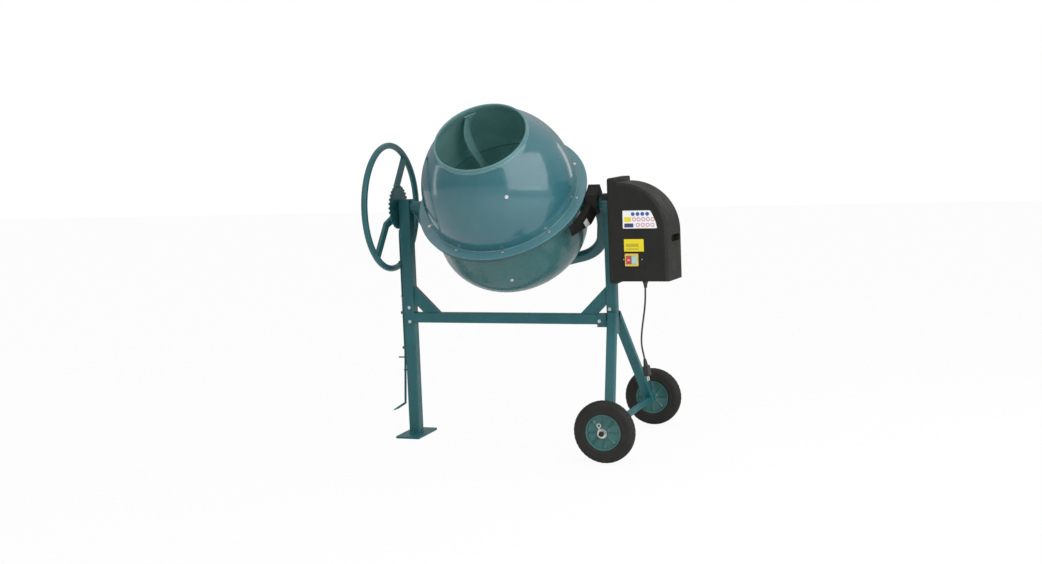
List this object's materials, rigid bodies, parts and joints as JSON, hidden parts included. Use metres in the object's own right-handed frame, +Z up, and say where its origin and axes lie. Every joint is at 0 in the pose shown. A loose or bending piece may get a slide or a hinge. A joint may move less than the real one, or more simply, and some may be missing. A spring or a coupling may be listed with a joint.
{
  "type": "concrete mixer",
  "caption": "Tilting-drum concrete mixer on a stand with transport wheels: bowl drum, ring gear drive, yoke, handwheel with lock, motor housing.",
  "frame": {"origin": "on the floor, at the middle of the overall length and width", "axes": "+Z up; X along the tilt axis, +X towards the motor; -Y is the side the mouth faces at rest"},
  "size_m": [1.1978, 0.784, 1.3231],
  "materials": {
    "drum_paint": "gloss teal enamel",
    "frame_paint": "semi-gloss dark teal enamel",
    "black_plastic": "fine-grained moulded black plastic",
    "zinc": "bright zinc plated",
    "steel": "machined steel",
    "cast_iron": "as cast, greased",
    "tyre": "matt black rubber",
    "belt": "moulded rubber",
    "cable": "smooth black cable sheath",
    "aluminium": "cast aluminium",
    "bezel": "moulded yellow plastic",
    "red_button": "moulded red plastic",
    "green_button": "moulded green plastic",
    "bush": "natural nylon",
    "wheel_paint": "dark teal enamel"
  },
  "bodies": {
    "stand": {"column": "frame_paint", "column_head": "frame_paint", "pivot_bush": "bush", "foot_plate": "frame_paint", "crossbar": "frame_paint", "braces": "frame_paint", "bar_bracket": "frame_paint", "frame_bolts": "zinc", "post": "frame_paint", "pivot_block": "frame_paint", "leg_front": "frame_paint", "leg_rear": "frame_paint", "axle_tube": "frame_paint", "wheel_axle": "steel", "axle_hardware": "zinc", "rod_guides": "frame_paint", "return_spring": "zinc", "drive_belt": "belt", "motor_body": "aluminium", "belt_case": "black_plastic", "motor_cover": "black_plastic", "cover_screws": "zinc", "switch_unit": "bezel", "cable_gland": "cable", "power_cable": "cable", "mains_plug": "cable", "plug_pins": "zinc"},
    "yoke": {"yoke_tube": "frame_paint", "bearing_housing": "frame_paint", "ball_bearings": "steel", "gear_guard": "black_plastic", "pivot_tube": "frame_paint", "pivot_axle": "frame_paint", "lock_disc": "frame_paint", "handwheel_spokes": "frame_paint", "handwheel_rim": "frame_paint", "handwheel_nut": "zinc"},
    "drum": {"drum_bowl": "drum_paint", "drum_cone": "drum_paint", "ring_gear_segments": "cast_iron", "drum_bolts": "zinc", "blade_front": "drum_paint", "blade_rear": "drum_paint", "drum_hub": "drum_paint", "shaft_nuts": "zinc", "drum_shaft": "steel"},
    "pinion": {"pinion_gear": "cast_iron", "pinion_shaft": "steel", "large_pulley": "cast_iron"},
    "rotor": {"motor_rotor": "steel", "motor_pulley": "aluminium", "cooling_fan": "black_plastic"},
    "front_wheel": {"tyre_front": "tyre", "wheel_hub_front": "wheel_paint"},
    "rear_wheel": {"tyre_rear": "tyre", "wheel_hub_rear": "wheel_paint"},
    "latch": {"latch_rod": "frame_paint"},
    "stop_key": {"stop_button": "red_button"},
    "start_key": {"start_button": "green_button"}
  },
  "joints": [
    {"name": "drum_tilt", "type": "hinge", "parent": "stand", "child": "yoke", "pos_m": [-0.083, 0, 0.928], "axis": [1, 0, 0], "range_deg": [-84, 84]},
    {"name": "drum_spin", "type": "hinge", "parent": "yoke", "child": "drum", "pos_m": [-0.083, 0, 0.928], "axis": [0, -0.6691, 0.7431], "continuous": true},
    {"name": "pinion_spin", "type": "hinge", "parent": "yoke", "child": "pinion", "pos_m": [0.236, 0, 0.928], "axis": [1, 0, 0], "continuous": true},
    {"name": "rotor_spin", "type": "hinge", "parent": "stand", "child": "rotor", "pos_m": [0.375, -0.015, 0.723], "axis": [1, 0, 0], "continuous": true},
    {"name": "front_wheel_spin", "type": "hinge", "parent": "stand", "child": "front_wheel", "pos_m": [0.395, -0.346, 0.1155], "axis": [0, 1, 0], "continuous": true},
    {"name": "rear_wheel_spin", "type": "hinge", "parent": "stand", "child": "rear_wheel", "pos_m": [0.395, 0.346, 0.1155], "axis": [0, 1, 0], "continuous": true},
    {"name": "latch_slide", "type": "slide", "parent": "stand", "child": "latch", "axis": [0, 0, 1], "range_m": [0, 0.012], "deforming": ["return_spring"]},
    {"name": "stop_press", "type": "slide", "parent": "stand", "child": "stop_key", "axis": [0, 1, 0], "range_m": [0, 0.003]},
    {"name": "start_press", "type": "slide", "parent": "stand", "child": "start_key", "axis": [0, 1, 0], "range_m": [0, 0.003]}
  ],
  "couplings": [
    {"joint": "pinion_spin", "follows": "drum_spin", "ratio": -11},
    {"joint": "rotor_spin", "follows": "drum_spin", "ratio": -82.5}
  ]
}
